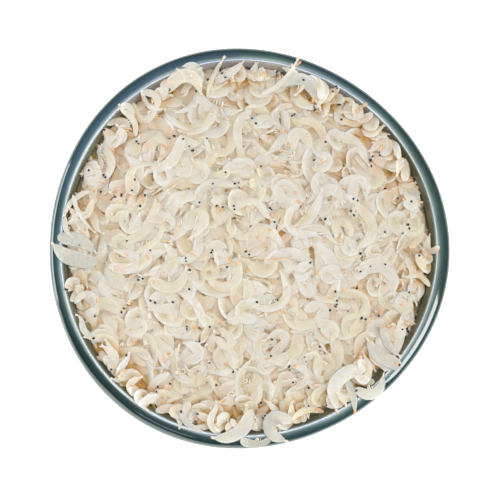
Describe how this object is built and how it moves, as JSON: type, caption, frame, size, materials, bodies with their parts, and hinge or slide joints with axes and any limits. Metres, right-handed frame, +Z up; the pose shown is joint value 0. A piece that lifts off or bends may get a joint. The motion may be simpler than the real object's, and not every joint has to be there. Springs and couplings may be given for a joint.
{
  "type": "bowl of dried baby shrimp",
  "caption": "Dried baby shrimp heaped high in a round bowl of dark teal glazed stoneware, some of them reaching over its pale rim.",
  "frame": {"origin": "middle of the bowl's rim, seen from above, at the level of the surface the foot ring stands on", "axes": "+Z up; +Y towards the top edge of the picture and +X towards its right edge"},
  "size_m": [0.1322, 0.1326, 0.0618],
  "materials": {
    "glazed_stoneware": "gloss",
    "dried_shrimp": "satin"
  },
  "bodies": {
    "root": {"bowl": "glazed_stoneware", "shrimp_heap": "dried_shrimp"}
  },
  "joints": []
}
